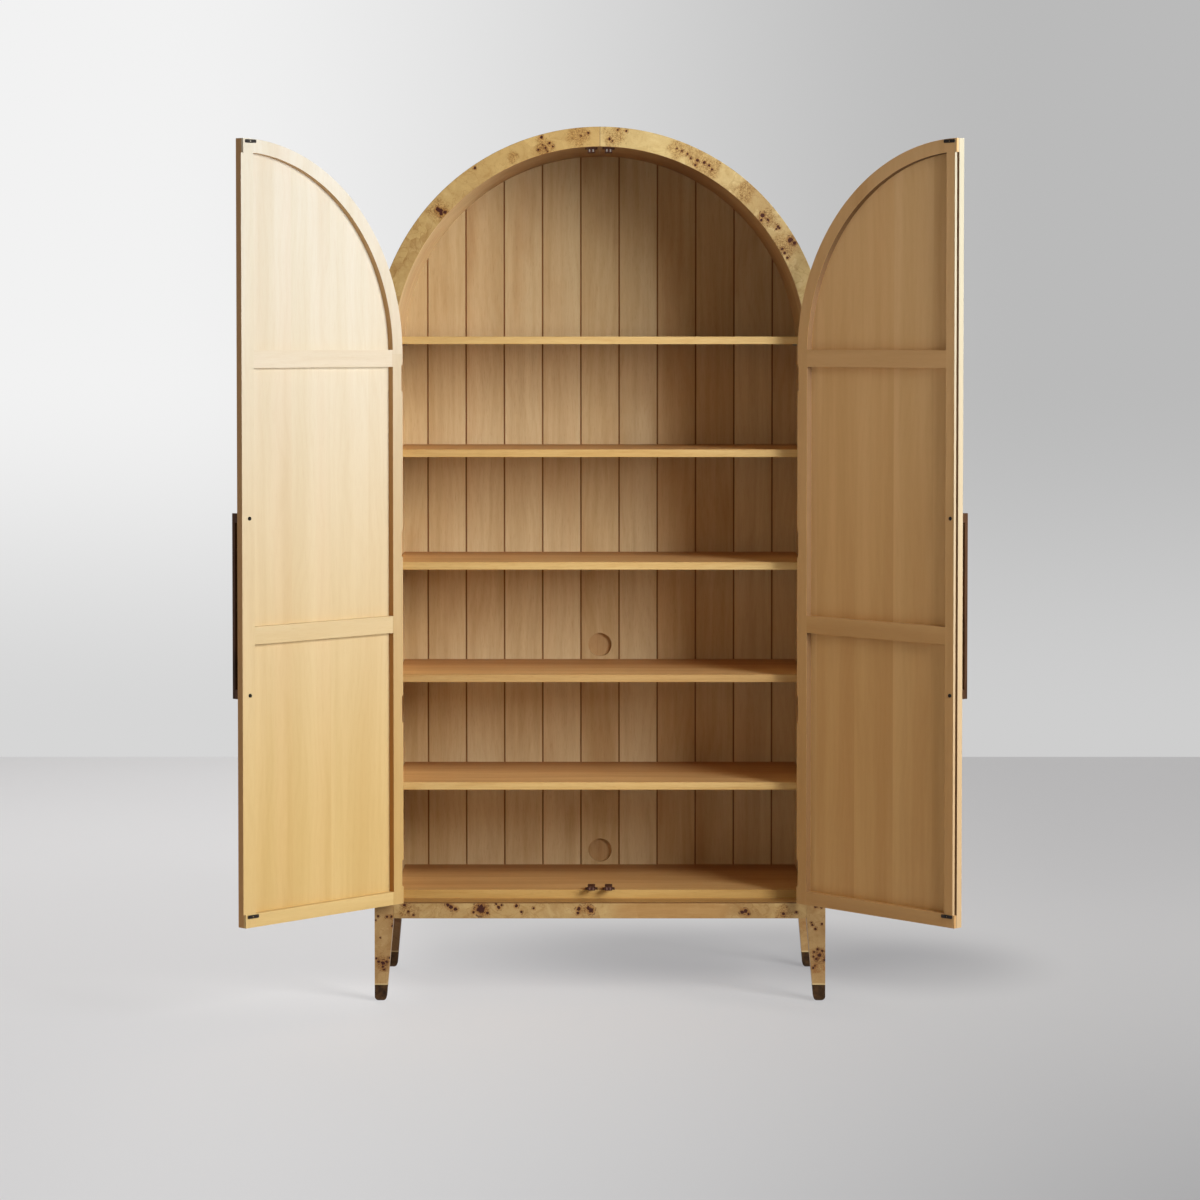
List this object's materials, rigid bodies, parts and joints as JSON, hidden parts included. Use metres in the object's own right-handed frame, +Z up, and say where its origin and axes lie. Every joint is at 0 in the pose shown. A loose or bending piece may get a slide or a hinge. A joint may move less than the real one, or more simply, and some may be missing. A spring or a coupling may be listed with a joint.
{
  "type": "arched display cabinet",
  "caption": "Tall cabinet with a half-round top, tapered legs with metal ferrules, shelves and a boarded back, and a pair of framed doors with bar handles.",
  "frame": {"origin": "on the floor, midway between the sides, in the plane of the cabinet's front face", "axes": "+X to the right seen from the front, +Y from the front to the back, +Z up"},
  "size_m": [1.7142, 0.8758, 2.13],
  "materials": {
    "leg_burl": "satin",
    "rail_burl": "satin",
    "face_burl": "satin",
    "side_veneer": "satin",
    "block_wood": "matt",
    "deck_wood": "satin",
    "shelf_wood": "satin",
    "back_wood": "satin",
    "left_panel_wood": "satin",
    "right_panel_wood": "satin",
    "left_stile_wood": "satin",
    "right_stile_wood": "satin",
    "left_rail_wood": "satin",
    "right_rail_wood": "satin",
    "left_arch_wood": "satin",
    "right_arch_wood": "satin",
    "ferrule_bronze": "satin",
    "hinge_bronze": "satin",
    "handle_bronze": "satin",
    "screw_bronze": "satin",
    "bolt_dark": "satin",
    "strike_black": "satin",
    "catch_black": "matt",
    "pole_steel": "brushed",
    "pin_steel": "brushed"
  },
  "bodies": {
    "cabinet": {"front_rail": "rail_burl", "rear_rail": "rail_burl", "left_side_rail": "rail_burl", "right_side_rail": "rail_burl", "corner_blocks": "block_wood", "deck": "deck_wood", "back_boards": "back_wood", "shelf_pins": "pin_steel", "frame_hinge_leaves": "hinge_bronze", "frame_hinge_screws": "screw_bronze", "hinge_pins": "hinge_bronze", "catch_bodies": "catch_black", "catch_magnets": "pole_steel", "front_left_leg": "leg_burl", "front_left_ferrule": "ferrule_bronze", "rear_left_leg": "leg_burl", "rear_left_ferrule": "ferrule_bronze", "left_post": "face_burl", "left_arch_face": "face_burl", "left_side_panel": "side_veneer", "left_arch_shell": "side_veneer", "front_right_leg": "leg_burl", "front_right_ferrule": "ferrule_bronze", "rear_right_leg": "leg_burl", "rear_right_ferrule": "ferrule_bronze", "right_post": "face_burl", "right_arch_face": "face_burl", "right_side_panel": "side_veneer", "right_arch_shell": "side_veneer", "shelf_1": "shelf_wood", "shelf_2": "shelf_wood", "shelf_3": "shelf_wood", "shelf_4": "shelf_wood", "shelf_5": "shelf_wood"},
    "left_door": {"left_door_panel": "left_panel_wood", "left_hinge_stile": "left_stile_wood", "left_meeting_stile": "left_stile_wood", "left_arch_rail": "left_arch_wood", "left_upper_rail": "left_rail_wood", "left_lower_rail": "left_rail_wood", "left_bottom_rail": "left_rail_wood", "left_door_hinge_leaves": "hinge_bronze", "left_door_hinge_screws": "screw_bronze", "left_handle_bar": "handle_bronze", "left_handle_posts": "handle_bronze", "left_handle_bolts": "bolt_dark", "left_strike_plates": "strike_black"},
    "right_door": {"right_door_panel": "right_panel_wood", "right_hinge_stile": "right_stile_wood", "right_meeting_stile": "right_stile_wood", "right_arch_rail": "right_arch_wood", "right_upper_rail": "right_rail_wood", "right_lower_rail": "right_rail_wood", "right_bottom_rail": "right_rail_wood", "right_door_hinge_leaves": "hinge_bronze", "right_door_hinge_screws": "screw_bronze", "right_handle_bar": "handle_bronze", "right_handle_posts": "handle_bronze", "right_handle_bolts": "bolt_dark", "right_strike_plates": "strike_black"}
  },
  "joints": [
    {"name": "left_door_hinge", "type": "hinge", "parent": "cabinet", "child": "left_door", "pos_m": [-0.50125, -0.008, 0.92055], "axis": [0, 0, 1], "range_deg": [-46, 134]},
    {"name": "right_door_hinge", "type": "hinge", "parent": "cabinet", "child": "right_door", "pos_m": [0.50125, -0.008, 0.92055], "axis": [0, 0, -1], "range_deg": [-46, 134]}
  ]
}
